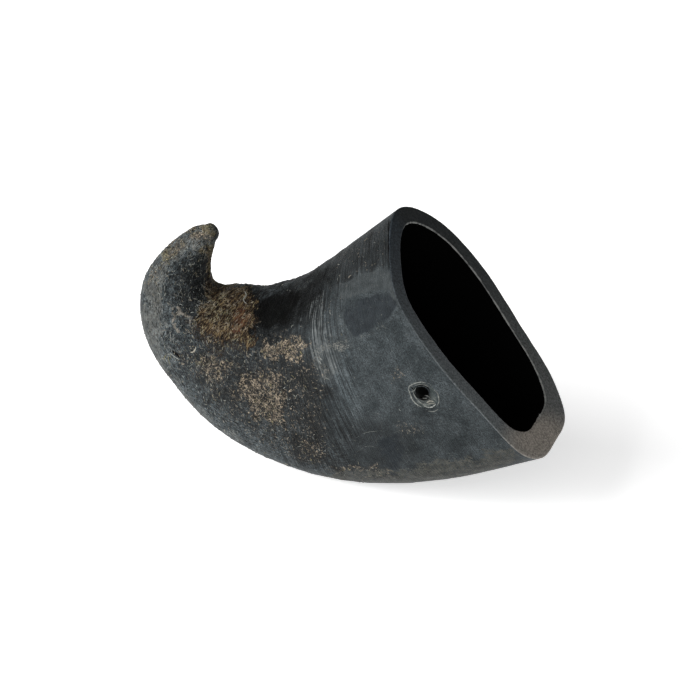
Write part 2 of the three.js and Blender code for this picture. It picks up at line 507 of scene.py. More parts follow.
# %% Distances in millimetres along and round the horn, and noise
travelled = np.concatenate([[0], grown.cumsum()])
along_mm = np.interp(places, np.linspace(0, 1, len(travelled)), travelled)
girth_radius = (graph(TALL, places) + graph(THICK, places))[:, 0] / 4
turned = around * 2 * math.pi
growth_space = np.stack([along_mm, girth_radius * np.cos(turned), girth_radius * np.sin(turned)], axis=1)
from_mouth = (CUT_POINT - points) @ CUT_NORMAL
print(f"the horn reaches {from_mouth.max():.0f} mm from the saw cut")


def smooth_noise(space, size, seed):
    """Noise from about -1 to 1 with bumps of the given size, in millimetres."""
    size = np.broadcast_to(size, 3)
    moved = space / size + np.array([seed * 13.7, seed * 7.1, seed * 3.3])
    return np.array([noise.noise(place) for place in moved.tolist()]) * 2


# %% [markdown]
# ## The patches of a used horn
#
# Horn is never one even surface. Behind the tip it is flaky and brown where nobody scraped
# it, the hollow of the curl is painted near black, as its shade with some soot-dark dirt, tan
# fibres show where the skin has worn, and the wall near the mouth was scraped to a satin. Each
# of these is one soft mask, kept on the mesh as an attribute, so that the relief and the
# material use the same places. The far side gets its own share of each, placed by noise and by
# the distance from the mouth.
#
# The masks could be painted on an image, but outlines can be read and moved here, and they
# need no unwrapping. Noise bends their borders, because no real stain has a drawn edge.

# %% How the borders wander, and where the far side has its patches
# In units of the drawing.
drift = np.stack([
    4.0 * smooth_noise(points, 5.0, 51 + axis) + 3.2 * smooth_noise(points, 1.5, 61 + axis)
    for axis in range(2)
], axis=1)
hidden = (1 - front) * outside
blotches = smooth_noise(points, 17, 21)
small_blotches = smooth_noise(points, 8, 22)
towards_tip = ramp(along_mm + 9 * small_blotches + 5 * blotches, 62, 112)
by_hollow = ramp(np.cos(turned) + 0.25 * small_blotches, 0.55, 0.95)
print(f"the borders wander by up to {np.abs(drift).max():.0f} units of the drawing")

# %% [markdown]
# Nobody can scrape the hollow of the curl. It keeps its brown flakes, a little of them rusty,
# and beside them a near-black patch: painted shade of the hollow, with the soot and dirt of years.

# %% Brown flakes, and painted shade with soot in the hollow
masks = {
    "brown": [
        area([(202, 246), (214, 246), (222, 276), (214, 286), (205, 270)], 3, 0.95),
        area([(206, 250), (211, 266), (222, 279), (236, 286), (255, 290), (258, 310), (254, 346), (232, 345),
              (212, 336), (196, 330), (190, 316), (198, 310), (207, 298), (204, 275)], 4.0),
        area([(182, 314), (200, 318), (216, 332), (248, 343), (252, 354), (228, 356), (204, 352),
              (188, 338)], 6, 0.62),
        hidden * by_hollow * ramp(along_mm, 116, 130) * (1 - ramp(along_mm, 160, 172)),
    ],
    "orange": [
        area([(234, 306), (247, 304), (249, 322), (244, 339), (234, 336), (230, 318)], 4, 0.9),
        area([(207, 270), (214, 276), (216, 296), (208, 292)], 3, 0.55),
    ],
    # Painted shade: the hollow of the curl, in front and on the far side, is darkened to near black, with
    # some soot.
    "hollow_shade_and_soot": [
        area([(252, 296), (266, 292), (284, 291), (300, 288), (304, 300), (298, 315), (286, 327),
              (268, 332), (254, 328), (252, 310)], 9, 1.0, 0.7),
        area([(246, 289), (300, 279), (330, 262), (336, 272), (322, 304), (306, 326), (284, 340),
              (248, 344)], 11, 0.68),
        hidden * by_hollow * ramp(along_mm, 78, 100) * (1 - ramp(along_mm, 108, 124)) * 0.8,
    ],
}

# %% [markdown]
# Shade is painted into the colour: the upper wall, the middle of the tip, the fibrous middle, the
# low wall and the far side by the hollow are darkened. Light is painted on the outer bend at the
# left and at the tip, with some bleaching of the keratin there.

# %% Painted shade, and painted light with some bleaching
masks |= {
    # Painted shade: darker on the upper wall, the tip, the fibrous middle, the low wall and by the hollow.
    "painted_shade": [
        area([(286, 286), (330, 256), (392, 214), (393, 262), (338, 288), (312, 330), (300, 334)], 8, 0.85),
        area([(208, 252), (211, 300), (192, 318), (174, 300), (182, 268), (198, 252)], 10, 0.9),
        area([(286, 366), (312, 352), (332, 392), (330, 470), (292, 466)], 8, 0.95),
        area([(196, 350), (290, 352), (290, 440), (244, 420), (196, 384)], 12, 0.7),
        area([(326, 410), (420, 430), (430, 470), (326, 480)], 12, 0.65),
        area([(390, 400), (480, 410), (520, 445), (430, 472), (390, 470)], 16, 0.28),
        area([(250, 326), (318, 318), (318, 340), (252, 352)], 6, 0.6),
        hidden * by_hollow * 0.7,
    ],
    # Painted light on the outer bend at the left and at the tip, where the left lamp falls, and some
    # bleaching towards the tip on the far side.
    "painted_light_and_bleach": [
        area([(140, 300), (146, 270), (160, 252), (182, 232), (206, 218), (224, 230), (208, 240), (186, 248),
              (170, 268), (164, 300), (164, 340), (178, 384), (212, 420), (256, 450), (292, 468), (300, 480),
              (262, 466), (196, 428), (154, 374), (138, 330)], 9),
        area([(168, 252), (186, 232), (209, 220), (226, 226), (216, 242), (192, 250), (172, 268)], 5),
        hidden * towards_tip * 0.6,
    ],
}

# %% [markdown]
# Where the skin has worn through, tan fibres fray out of it. Some of it is ground to a chalky
# dust, and along the belly, on which the horn lies, it turns a warmer, lighter dark grey.

# %% Worn and chalky places, and the belly
masks |= {
    "tan": [
        area([(240, 372), (262, 364), (286, 372), (287, 398), (287, 428), (268, 430), (248, 414),
              (232, 392)], 7, 0.96),
        area([(190, 354), (212, 350), (238, 362), (234, 378), (210, 386), (192, 374)], 8, 0.88),
        area([(258, 338), (287, 334), (312, 338), (312, 352), (296, 366), (272, 362), (254, 352)], 7, 1.0),
        area([(298, 440), (322, 438), (324, 462), (300, 460)], 5, 0.75),
        area([(330, 464), (378, 462), (400, 474), (330, 477)], 5, 0.8),
        area([(160, 254), (180, 236), (188, 244), (174, 262), (160, 272)], 5, 0.95),
        area([(184, 229), (208, 220), (221, 226), (219, 236), (206, 240), (188, 242)], 6, 0.95),
        area([(312, 296), (344, 292), (350, 338), (322, 345)], 6, 0.42),
        area([(147, 264), (158, 261), (160, 284), (146, 290)], 5, 0.75),
        area([(393, 363), (406, 368), (404, 386), (392, 382)], 6, 0.75),
        area([(394, 420), (426, 420), (426, 441), (396, 440)], 9, 0.62),
        area([(160, 315), (200, 345), (290, 362), (330, 350), (335, 478), (270, 456), (214, 420), (166, 365)],
             12, 0.6),
        area([(209, 223), (158, 257), (146, 300), (180, 320), (200, 300), (209, 250)], 8, 0.44),
        area([(316, 296), (330, 262), (370, 230), (392, 216), (393, 262), (350, 284)], 8, 0.42),
        hidden * towards_tip * (0.45 + 0.5 * ramp(small_blotches, 0.1, 0.7)),
        hidden * (1 - towards_tip) * 0.6 * ramp(small_blotches, 0.3, 0.9),
    ],
    "chalk": [
        area([(322, 342), (352, 336), (353, 350), (325, 353)], 4, 0.95),
        trail([(360, 337), (366, 335.6), (373, 332.4), (379, 329), (385, 325.4)], 0.6),
        area([(312, 345), (322, 344), (332, 378), (322, 384)], 4, 0.8),
    ],
    # Warmer and lighter grey low on the front, and on the far side where the faces look down.
    "belly": [
        area([(318, 477), (350, 471), (396, 468), (430, 463), (470, 456), (506, 447), (524, 455), (499, 476),
              (449, 488), (390, 490), (330, 484)], 3.5),
        hidden * ramp(-normals[:, 1], 0.5, 0.85) * (1 - towards_tip) * 0.8,
    ],
}

# %% [markdown]
# Towards the mouth the horn was scraped. The scraper left flat and smooth patches, and its
# scratches run with the growth rings, because it was drawn round the horn. Dust lies all over.

# %% Scraped, smooth, scratched and dusty places
masks |= {
    "scraped": [
        area([(340, 283), (364, 274), (386, 267), (392, 272), (399, 292), (402, 306), (393, 304), (388, 289),
              (364, 294), (345, 300), (338, 297)], 2.0, 1.0, 0.2),
        area([(316, 332), (344, 334), (366, 340), (345, 352), (334, 384), (320, 384), (312, 350)], 6, 0.75),
        hidden * (1 - towards_tip) * 0.5 * ramp(blotches, 0.0, 0.8),
    ],
    "smooth": [
        area([(345, 302), (365, 296), (389, 291), (398, 306), (385, 324), (370, 333), (353, 337), (344, 324)],
             2.6, 1.0, 0.3),
        area([(382, 431), (400, 434), (407, 452), (398, 468), (380, 468), (374, 450)], 5, 0.8),
    ],
    "streaky": [
        area([(286, 276), (330, 260), (370, 230), (392, 222), (393, 268), (346, 294), (343, 338), (350, 352),
              (358, 400), (346, 486), (296, 474), (268, 440), (260, 380), (276, 352), (288, 330)], 9),
        hidden * ramp(along_mm, 38, 50) * (1 - ramp(along_mm, 88, 98)),
    ],
    "scratched": [
        area([(304, 298), (322, 292), (330, 330), (342, 386), (324, 390), (308, 350)], 5, 1.0),
        area([(340, 286), (388, 268), (392, 300), (352, 300)], 8, 0.55),
        hidden * ramp(along_mm, 38, 50) * (1 - ramp(along_mm, 88, 98)) * ramp(small_blotches, 0.0, 0.6) * 0.8,
    ],
    "dust": [
        outside * (0.42 + 0.2 * towards_tip),
        area([(345, 400), (420, 420), (430, 470), (345, 480)], 14, 0.45),
    ],
    "pitted": [towards_tip * outside],
}

# %% Join the parts of each mask
masks = {name: np.clip(np.max(parts, axis=0), 0, 1) * outside for name, parts in masks.items()}
for name, mask in masks.items():
    print(f"{name}: {100 * (mask > 0.5).sum() / outside.sum():.1f} % of the outside")

# %% [markdown]
# ## Relief
#
# The shape that light really picks out is small: growth rings a tenth of a millimetre high,
# flats left by the scraper, pits in the flaky part and a few scars. It is moved in the mesh
# itself, along the normals, so that the outline and the mesh have it too. Only what
# is finer than the mesh is left to bump.

# %% Growth rings, scraped flats and flaky pits
off_edge = ramp(from_mouth, 0.2, 3.0) * outside
calm = 0.25 + 0.75 * ramp(from_mouth, 6, 30)
ring_strength = 0.3 + 0.7 * ramp(along_mm, 45, 70) * (1 - ramp(along_mm, 125, 150))
ring_strength *= 1 - 0.7 * masks["smooth"]
rings_coarse = smooth_noise(growth_space, (2.6, 40, 40), 1)
rings_fine = smooth_noise(growth_space, (1.1, 22, 22), 2)
flats = smooth_noise(growth_space, (20, 14, 14), 3)
lumps = smooth_noise(growth_space, (5, 4, 4), 4)
pits = smooth_noise(growth_space, (1.6, 1.5, 1.5), 5)
flakes = smooth_noise(growth_space, (2.8, 1.6, 1.6), 6)
rough_place = np.clip(masks["brown"] + 0.3 * masks["tan"] + 0.22 * masks["pitted"], 0, 1)

height = off_edge * ring_strength * (0.05 * rings_coarse + 0.04 * rings_fine)
height += off_edge * calm * (0.08 * flats + 0.06 * lumps)
height += off_edge * rough_place * (0.11 * pits + 0.11 * flakes - 0.05)
print(f"rings, flats and pits are up to {np.abs(height).max():.2f} mm high or deep")

# %% [markdown]
# A few marks are single shapes: a lumpy old scar and a nick below the tip, and two worm pits
# beside the hollow. They could be sculpted by hand, but a line on the drawing can be read and
# moved, and it survives every change of the mesh.

# %% Single marks
scar = np.max([
    trail([(174, 316), (172.6, 311.5), (175, 307.6), (178.5, 307.6), (180.6, 311), (179, 315)], 0.7),
    trail([(180, 313), (183, 313.6), (186, 315.5), (190, 317)], 0.55),
    trail([(175, 317), (173.6, 321.5), (175.6, 326), (178.6, 331)], 0.85),
    0.7 * trail([(190, 320), (194, 319.6), (196.4, 324), (193, 328), (190, 325), (190.4, 321)], 0.4),
], axis=0)
scar *= ramp(smooth_noise(points, 1.0, 16), -1.2, 0.2)
nick = trail([(172.5, 351.6), (175, 353.2), (177.6, 355.4), (179.5, 357)], 0.55)
worm_pits = np.maximum(trail([(207.5, 264), (208, 265)], 0.5), trail([(209, 272), (209.5, 273)], 0.5))
height += 0.5 * scar - 0.5 * nick - 0.6 * worm_pits
# Painted shade: the nick and the pits are darkened to near black, with some dirt in them.
masks["shade_and_dirt_black"] = np.clip(nick + worm_pits, 0, 1)
masks["pale"] = scar
print("points on the scar:", (scar > 0.5).sum(), "and in the nick:", (nick > 0.5).sum())

# %% [markdown]
# The bit tore the mouth of the hole. Round it lies a shallow chipped dish, longer one way than
# the other, with ragged pale lines at its rim and a torn lip below the hole. Paint alone would
# look flat from the side, so the dish is sunk into the mesh, and only its colour is a mask.

# %% The chipped dish round the drilled hole
HOLE_MIDDLE = np.array([422.3, 392.2])
DISH_MIDDLE = np.array([424.0, 395.5])
DISH_TURN = math.radians(37)
# Half of its length and half of its width, in units of the drawing.
DISH_LONG = 17.0
DISH_SHORT = 13.0
near_hole = front * outside
from_hole = np.linalg.norm(drawn - HOLE_MIDDLE, axis=1) * DRAWING_UNIT
in_dish_units = drawn - DISH_MIDDLE
dish_long = in_dish_units[:, 0] * math.cos(DISH_TURN) + in_dish_units[:, 1] * math.sin(DISH_TURN)
dish_short = in_dish_units[:, 1] * math.cos(DISH_TURN) - in_dish_units[:, 0] * math.sin(DISH_TURN)
ragged = smooth_noise(points, 2.2, 7)
chipped = smooth_noise(points, 1.1, 8)
dish = np.hypot(dish_long / DISH_LONG, dish_short / DISH_SHORT) + 0.09 * ragged + 0.04 * chipped
in_dish = (1 - ramp(dish, 0.7, 1.0)) * near_hole
outer_lip = np.exp(-(((dish - 0.97) / 0.09) ** 2)) * near_hole * (0.35 + 0.3 * ramp(ragged, -0.6, 0.4))
inner_lip_line = np.exp(-(((dish - 0.68) / 0.1) ** 2)) * near_hole * 0.7 * ramp(dish_long + dish_short, -4, 6)
funnel = (1 - ramp(from_hole, 2.2, 2.8)) * near_hole
height -= 0.4 * in_dish + 0.5 * funnel
height += 0.14 * outer_lip + 0.22 * inner_lip_line
masks["dish"] = in_dish * (1 - funnel)
masks["lip"] = np.clip((outer_lip + inner_lip_line) * (1 - funnel), 0, 1)
# Painted shade: the funnel at the mouth of the hole is darkened towards black.
masks["shade_and_dirt_black"] = np.maximum(masks["shade_and_dirt_black"], 0.7 * funnel * ramp(-from_hole, -2.6, -2.25))
dish_mm = [round(2 * half * DRAWING_UNIT, 1) for half in (DISH_LONG, DISH_SHORT)]
print("the dish is about", dish_mm[0], "by", dish_mm[1], "mm")

# %% [markdown]
# The saw left the rim nearly flat, with faint teeth marks, and a thin ragged burr stands along
# the far inside edge where the blade broke out. The burr is pale, partly as a painted highlight
# where its edge catches the light. The rim is darkest at the top and pales to a warm grey at the
# bottom. Noise that is stretched across the saw's way gives all the teeth marks one direction.

# %% Saw marks and the burr of the inside edge
on_rim = (regions == RIM).astype(float)
saw_way = unit(np.cross(CUT_NORMAL, [0.2, 1.0, 0.1]))
saw_cross = np.cross(CUT_NORMAL, saw_way)
saw_space = np.stack([points @ saw_way, points @ saw_cross, np.zeros(len(points))], axis=1)
height += on_rim * (0.03 * smooth_noise(saw_space, (0.9, 30, 1), 9) + 0.04 * smooth_noise(points, 6, 10))
far_wall = ramp(spline(ROOT_SECTION, around, closed=True)[:, 1], -0.15, 0.25)
inner_lip = np.zeros(len(points))
inner_lip[grid[CAVITY_RINGS - 1]] = 0.9
inner_lip[grid[CAVITY_RINGS]] = 1.0
tears = np.clip(smooth_noise(points, 1.3, 11) + 0.6 * smooth_noise(points, 3.5, 13) + 0.2, -0.3, 1)
torn_corner = np.exp(-((np.linalg.norm(drawn - [538, 418], axis=1) / 9) ** 2))
height += inner_lip * tears * (0.05 + 0.1 * far_wall + 0.3 * torn_corner)
masks["burr_and_highlight"] = np.clip(inner_lip * (0.15 + 0.85 * far_wall) * (0.75 + 0.35 * tears), 0, 1)
# Darker at the top of the rim and lighter towards the bottom, with a warm grey at its foot.
masks["rim_drop"] = ramp(drawn[:, 1], 200, 455)
masks["rim_far"] = far_wall
masks["rim_foot"] = np.exp(-((np.linalg.norm((drawn - [540, 440]) / [34, 26], axis=1)) ** 4))
print("points on the rim:", (regions == RIM).sum(), "and on the burr:", (masks["burr_and_highlight"] > 0.5).sum())

# %% Move the points, and press the seat flat
moved = points + normals * height[:, None]
placed = to_frame(moved)
seat_rasp = np.clip(0.05 + 0.05 * smooth_noise(placed, (1.2, 9, 9), 12), 0, None)
placed[:, 2] = np.maximum(placed[:, 2], seat_rasp)
placed = np.clip(placed, low_corner, high_corner)
print("largest relief, mm:", round(float(np.abs(height).max()), 2))

# %% [markdown]
# ## The mesh
#
# Now the arrays become one Blender mesh. Each face knows its region, which picks its
# material, and the masks go on as float attributes that the materials read by name.

# %% Build the mesh and sort its faces by region
MILLIMETRE = 0.001
horn_mesh = bpy.data.meshes.new("buffalo_horn")
kept = np.flatnonzero(~removed)
renumber = np.full(len(points), -1)
renumber[kept] = np.arange(len(kept))
faces = renumber[quads].tolist() + renumber[fans].tolist()
horn_mesh.from_pydata((placed[kept] * MILLIMETRE).tolist(), [], faces)
horn_mesh.validate()

face_region = np.concatenate([
    np.where((regions[quads] == BORE).any(1), BORE, regions[quads].max(axis=1)),
    regions[fans].max(axis=1),
])
mixed = (regions[quads] == RIM).any(1) & (regions[quads] == OUTSIDE).any(1)
face_region[: len(quads)][mixed] = RIM
# Faces deep in the painted shade of the hollow get copies of the material with less gloss.
hollow_shade_depth = (masks["hollow_shade_and_soot"] + 0.25 * smooth_noise(points, 1.0, 14))[quads].mean(axis=1)
on_outside = (regions[quads] == OUTSIDE).all(1)
face_region[: len(quads)][on_outside & (hollow_shade_depth > 0.5)] = SMUDGED_AND_SHADED
face_region[: len(quads)][on_outside & (hollow_shade_depth > 0.8)] = SOOTY_AND_SHADED
horn_mesh.polygons.foreach_set("material_index", face_region.astype(np.int32))
horn_mesh.polygons.foreach_set("use_smooth", np.ones(len(faces), bool))
print("faces of cavity, rim, outside, bore, smudged and sooty skin:", np.bincount(face_region).tolist())

# %% Give the mesh its attributes and check that it is closed
for name, vectors in (("growth_mm", growth_space), ("place_mm", points)):
    attribute = horn_mesh.attributes.new(name, "FLOAT_VECTOR", "POINT")
    attribute.data.foreach_set("vector", vectors[kept].astype(np.float32).ravel())
for name, mask in masks.items():
    attribute = horn_mesh.attributes.new(name, "FLOAT", "POINT")
    attribute.data.foreach_set("value", mask[kept].astype(np.float32))

horn = bpy.data.objects.new("buffalo_horn", horn_mesh)
bpy.context.scene.collection.objects.link(horn)
shape = bmesh.new()
shape.from_mesh(horn_mesh)
bmesh.ops.recalc_face_normals(shape, faces=shape.faces)
open_edges = sum(1 for edge in shape.edges if not edge.is_manifold)
print(f"volume {shape.calc_volume() * 1e6:.1f} cm3, open edges {open_edges}, faces {len(shape.faces)}")
shape.to_mesh(horn_mesh)
shape.free()

# %% [markdown]
# ## Frayed fibres
#
# Where keratin wears it doesn't powder, it frays: short curled fibres lift off the skin. Bump
# can't show these, because they stand free and cast shadows. A hair system could strew them,
# but tubes made here keep their places in every render. Each is a thin tube
# whose ends sink into the skin, strewn by chance over the worn places, mostly along the growth
# rings. The tip's lie along it, like its grain.

# %% Strew short curled fibres over the worn places
FIBRES = 8500
FIBRE_STEPS = 4
FIBRE_SIDES = 3
# Where along the horn, in millimetres, the grain turns to run to the tip.
TIP_GRAIN_FROM = 158
chance = np.random.default_rng(41)

wear = np.clip(0.9 * masks["tan"] ** 2.4 + 1.1 * masks["brown"] + 0.2 * masks["chalk"], 0, 1.2)
wear *= ramp(smooth_noise(points, 2.6, 31), -0.35, 0.35)
wear = (wear + 0.03 * masks["pitted"]) * (1 - masks["hollow_shade_and_soot"])
wear[grid[:CAVITY_RINGS + RIM_RINGS + 3]] = 0
wear[grid.size:] = 0
wear[removed] = 0
roots = chance.choice(len(points), FIBRES, p=wear / wear.sum())
ring_way = unit(points[np.where((roots + 1) % AROUND, roots + 1, roots + 1 - AROUND)] - points[roots])
up = normals[roots]
cross_way = np.cross(up, ring_way)
lengths = chance.uniform(0.4, 1.7, FIBRES)
headings = chance.normal(0.0, 0.75, FIBRES) + np.where(along_mm[roots] > TIP_GRAIN_FROM, math.pi / 2, 0)
bends = chance.uniform(-2.2, 2.2, FIBRES)
steps = np.linspace(-0.5, 0.5, FIBRE_STEPS)
print(FIBRES, "short fibres,", round(float(lengths.mean()), 2), "mm long on average")

# %% Bend each fibre and give it its look
angle = headings[:, None] + bends[:, None] * steps
stride = (lengths / (FIBRE_STEPS - 1))[:, None]
ahead = np.cumsum(np.cos(angle) * stride, axis=1)
sideways = np.cumsum(np.sin(angle) * stride, axis=1)
ahead -= ahead.mean(axis=1, keepdims=True)
sideways -= sideways.mean(axis=1, keepdims=True)
lift = 0.14 * np.cos(math.pi * steps) * chance.uniform(0.4, 1.3, (FIBRES, 1)) - 0.04
routes = (
    moved[roots][:, None]
    + ahead[..., None] * ring_way[:, None]
    + sideways[..., None] * cross_way[:, None]
    + lift[..., None] * up[:, None]
)
thin = chance.uniform(0.05, 0.125, (FIBRES, 1)) * np.sqrt(1 - (2 * steps) ** 2 * 0.85)
# How light each is, how far from pinkish tan to yellow green, and how far to grey.
coloured = masks["tan"] ** 3 + masks["brown"] - masks["chalk"]
looks = np.stack([
    np.clip(chance.normal(0.42, 0.33, FIBRES), 0, 1),
    np.clip(
        chance.normal(0.35, 0.3, FIBRES) + 0.5 * smooth_noise(points[roots], 7, 32)
        - 0.7 * masks["orange"][roots], 0, 1
    ),
    np.clip(chance.uniform(0.2, 1.5, FIBRES) - coloured[roots], 0, 1),
], axis=1)
print(f"they are {2 * thin.mean():.2f} mm thick on average")

# %% [markdown]
# The larger strands are too few to leave to chance, so they are drawn one by one: a hair on the
# brown felt, the lips of the nick, keratin torn up round the drilled hole, and near-black strands
# in the nick and the crack beside the rim, painted shade with some dirt. Each is a tube again,
# through a few places of the drawing.

# %% Strands on the brown felt, the tip and the nick
STRANDS = [
    # half thickness and lift in mm, (light, green, grey), and the places it passes
    (0.13, 0.25, (1.0, 0, 0.9), [(243, 290), (245.6, 293), (246, 296), (243.6, 299), (245, 302.5),
                                 (248, 304)]),
    (0.07, 0.15, (0.7, 0, 1), [(157, 279), (161, 281), (164, 285), (165, 290)]),
    (0.07, 0.15, (0.6, 0, 1), [(176, 284), (180, 286), (181, 290), (178, 294)]),
    (0.26, 0.12, (1.0, 0, 0.5), [(190.3, 352.3), (193, 352), (195, 349.8), (196, 346.6)]),
    (0.17, 0.12, (0.8, 0.3, 1), [(167, 354.6), (170.6, 354), (175, 357), (179.8, 360)]),
    (0.15, 0.10, (0.55, 1, 0.1), [(166.4, 354.6), (164.6, 357), (164.4, 360.6)]),
    (0.15, 0.10, (0.65, 1, 0.1), [(168.4, 355.6), (168.6, 360), (170.4, 364.6)]),
    (0.13, 0.10, (0.5, 1, 0.1), [(170.4, 355.6), (170.8, 359)]),
    # A near-black strand in the nick: painted shade, with some dirt.
    (0.40, -0.05, (0.0, 0, 1), [(172.8, 351.2), (175.6, 353), (179, 356.2)]),
    (0.12, 0.10, (0.65, 0, 1), [(169.4, 331.3), (170.6, 335.6), (171, 341)]),
    (0.12, 0.10, (0.55, 0, 1), [(173.6, 334), (173, 339), (174, 344)]),
    (0.13, 0.10, (0.6, 0, 0.8), [(202.5, 340), (203, 342), (204.6, 344.6)]),
    (0.12, 0.10, (0.6, 0, 0.8), [(206.3, 340), (207, 342.4), (207.7, 345)]),
]
print(len(STRANDS), "strands on the tip and the felt")

# %% Keratin torn up round the drilled hole
STRANDS += [
    (0.24, 0.0, (0.55, 0.5, 1), [(408.3, 391), (409.6, 386), (413, 384.2), (417.3, 382.6), (422, 382),
                                 (430, 383.6)]),
    (0.18, 0.0, (0.45, 0.5, 1), [(415, 385.4), (420, 384.2), (426, 385.4), (431.4, 388.4)]),
    (0.28, 0.0, (0.55, 0.5, 1), [(408.8, 390), (410.6, 394.6), (412.6, 399.4), (416.4, 403.8), (421.6, 407)]),
    (0.22, 0.0, (0.52, 0.5, 1), [(412.6, 391), (414.9, 396), (418.5, 400.6), (423.3, 404.2), (427, 405.4)]),
    (0.28, 0.0, (0.65, 0.3, 1), [(423.6, 405.6), (428, 407.2), (432.4, 406.8), (436, 404)]),
    (0.20, 0.0, (0.40, 0.5, 1), [(433.6, 389.6), (437.2, 392.6), (439, 398), (438.6, 403), (435.6, 407.6)]),
    (0.20, 0.0, (0.40, 0.5, 1), [(428, 411), (434, 411.4), (438.4, 409)]),
    (0.16, 0.0, (0.50, 0.5, 1), [(409.2, 391.6), (413.4, 391), (416, 388)]),
    # A near-black strand in a tear by the hole: painted shade, with some dirt.
    (0.16, 0.0, (0.0, 0, 1), [(410.6, 386.6), (413.6, 389.8)]),
    (0.32, 0.05, (0.62, 0.0, 0.7), [(426.6, 402.8), (430, 400.8), (434, 401.6)]),
    (0.22, 0.0, (0.52, 0.0, 0.7), [(427.4, 404.2), (431, 403.2), (435, 403.6)]),
    (0.20, -0.05, (0.3, 0.0, 1), [(424.4, 395.4), (428.6, 396.4), (431.4, 398.8)]),
    (0.17, -0.05, (0.36, 0.0, 1), [(422.6, 398.2), (427, 398.6), (430.6, 400)]),
    (0.15, -0.05, (0.3, 0.0, 1), [(420.6, 400), (424.6, 401.6), (427.4, 402)]),
]
print(len(STRANDS), "strands with those of the hole")

# %% Near-black strands in the crack beside the rim, painted shade with some dirt, and stray specks
STRANDS += [
    (0.28, 0.06, (0.0, 0.0, 1), [(388.6, 219.5), (388.6, 226), (388.3, 233), (388.3, 240), (388.4, 247),
                                 (388.7, 256), (389.3, 268)]),
    (0.08, 0.05, (0.05, 0.0, 1), [(384.8, 222), (384.8, 232), (384.8, 242), (385.2, 252), (385.2, 262)]),
    (0.06, 0.0, (0.45, 0, 1), [(356, 438), (366, 432.6), (378, 431)]),
    (0.05, 0.0, (0.40, 0, 1), [(356, 452), (368, 446), (378, 448)]),
    (0.12, 0.0, (0.8, 0, 1), [(190.2, 362.6), (191, 363.4)]),
    (0.09, 0.0, (0.8, 0, 1), [(352.6, 426.6), (353.4, 427.4)]),
    (0.09, 0.0, (0.7, 0, 1), [(399.2, 409), (400.4, 411)]),
]

# %% Lay the strands on the skin
STRAND_STEPS = 24
STRAND_SIDES = 6
moved_tree = BVHTree.FromPolygons([Vector(point) for point in moved], quads.tolist())
strand_steps = np.linspace(0, 1, STRAND_STEPS)
strands = []
for half, raised, look, corners in STRANDS:
    route = spline([spot(x, y, moved_tree) for x, y in corners], strand_steps)
    towards_eye = unit(EYE - route)
    arch = raised * np.sin(math.pi * strand_steps)[:, None] - 0.2 * half
    halves = half * (1 - (2 * strand_steps - 1) ** 4 * 0.75) * chance.uniform(0.6, 1.15, STRAND_STEPS)
    strand_looks = np.tile(look, (STRAND_STEPS, 1))
    strand_looks[:, 0] *= chance.uniform(0.6, 1.2, STRAND_STEPS)
    strands.append((route + towards_eye * arch, towards_eye, halves, strand_looks))
print(len(strands), "single strands")

# %% One mesh of all the fibres


def tubes(centres, tops, halves, sides):
    """Points and faces of closed tubes along rows of centres, with tops as their upper side."""
    way = unit(np.gradient(centres, axis=1))
    flank = unit(np.cross(way, tops))
    turns = np.arange(sides) * 2 * math.pi / sides
    rise = np.cross(flank, way)
    ring = flank[:, :, None] * np.cos(turns)[:, None] + rise[:, :, None] * np.sin(turns)[:, None]
    tube_points = centres[:, :, None] + ring * halves[:, :, None, None]
    count, length = centres.shape[:2]
    index = np.arange(count * length * sides).reshape(count, length, sides)
    low, high = index[:, :-1], index[:, 1:]
    skin = np.stack([low, np.roll(low, -1, 2), np.roll(high, -1, 2), high], axis=-1).reshape(-1, 4)
    ends = np.concatenate([index[:, 0, ::-1], index[:, -1]])
    return tube_points.reshape(-1, 3), skin.tolist() + ends.tolist()


fibre_points, fibre_faces = tubes(
    routes, np.broadcast_to(up[:, None], routes.shape), np.broadcast_to(thin, routes.shape[:2]), FIBRE_SIDES
)
fibre_looks = [np.repeat(looks, FIBRE_STEPS * FIBRE_SIDES, axis=0)]
for route, tops, halves, strand_looks in strands:
    strand_points, strand_faces = tubes(route[None], tops[None], halves[None], STRAND_SIDES)
    fibre_faces += [[corner + len(fibre_points) for corner in face] for face in strand_faces]
    fibre_points = np.concatenate([fibre_points, strand_points])
    fibre_looks.append(np.repeat(strand_looks, STRAND_SIDES, axis=0))

fibre_mesh = bpy.data.meshes.new("frayed_fibres")
fibre_placed = np.clip(to_frame(fibre_points), low_corner, high_corner)
fibre_mesh.from_pydata((fibre_placed * MILLIMETRE).tolist(), [], fibre_faces)
fibre_mesh.validate()
fibre_mesh.polygons.foreach_set("use_smooth", np.ones(len(fibre_mesh.polygons), bool))
look_attribute = fibre_mesh.attributes.new("fibre_look", "FLOAT_VECTOR", "POINT")
look_attribute.data.foreach_set("vector", np.concatenate(fibre_looks).astype(np.float32).ravel())
fibres = bpy.data.objects.new("frayed_fibres", fibre_mesh)
bpy.context.scene.collection.objects.link(fibres)
print(len(fibre_mesh.polygons), "faces of fibre")

# %% [markdown]
# ## Materials
#
# Colours are written as sRGB hex values, the way an artist picks them, and turned to linear
# light by one function. One more function adds a node with its settings and links.

# %% Colour and node helpers


def linear(code):
    """An sRGB hex colour as linear red, green, blue and alpha."""
    channels = [int(code[i:i + 2], 16) / 255 for i in (1, 3, 5)]
    return [c / 12.92 if c <= 0.04045 else ((c + 0.055) / 1.055) ** 2.4 for c in channels] + [1.0]


def add(tree, kind, inputs=None, **settings):
    """Adds a node. An input takes a value or the output of another node. Of the sockets that a
    Mix node has for each data type, 6 and 7 are the two colours, and its output 2 is their mix."""
    made = tree.nodes.new(kind)
    for name, value in settings.items():
        setattr(made, name, value)
    for name, value in (inputs or {}).items():
        if isinstance(value, bpy.types.NodeSocket):
            tree.links.new(value, made.inputs[name])
        else:
            made.inputs[name].default_value = value
    return made


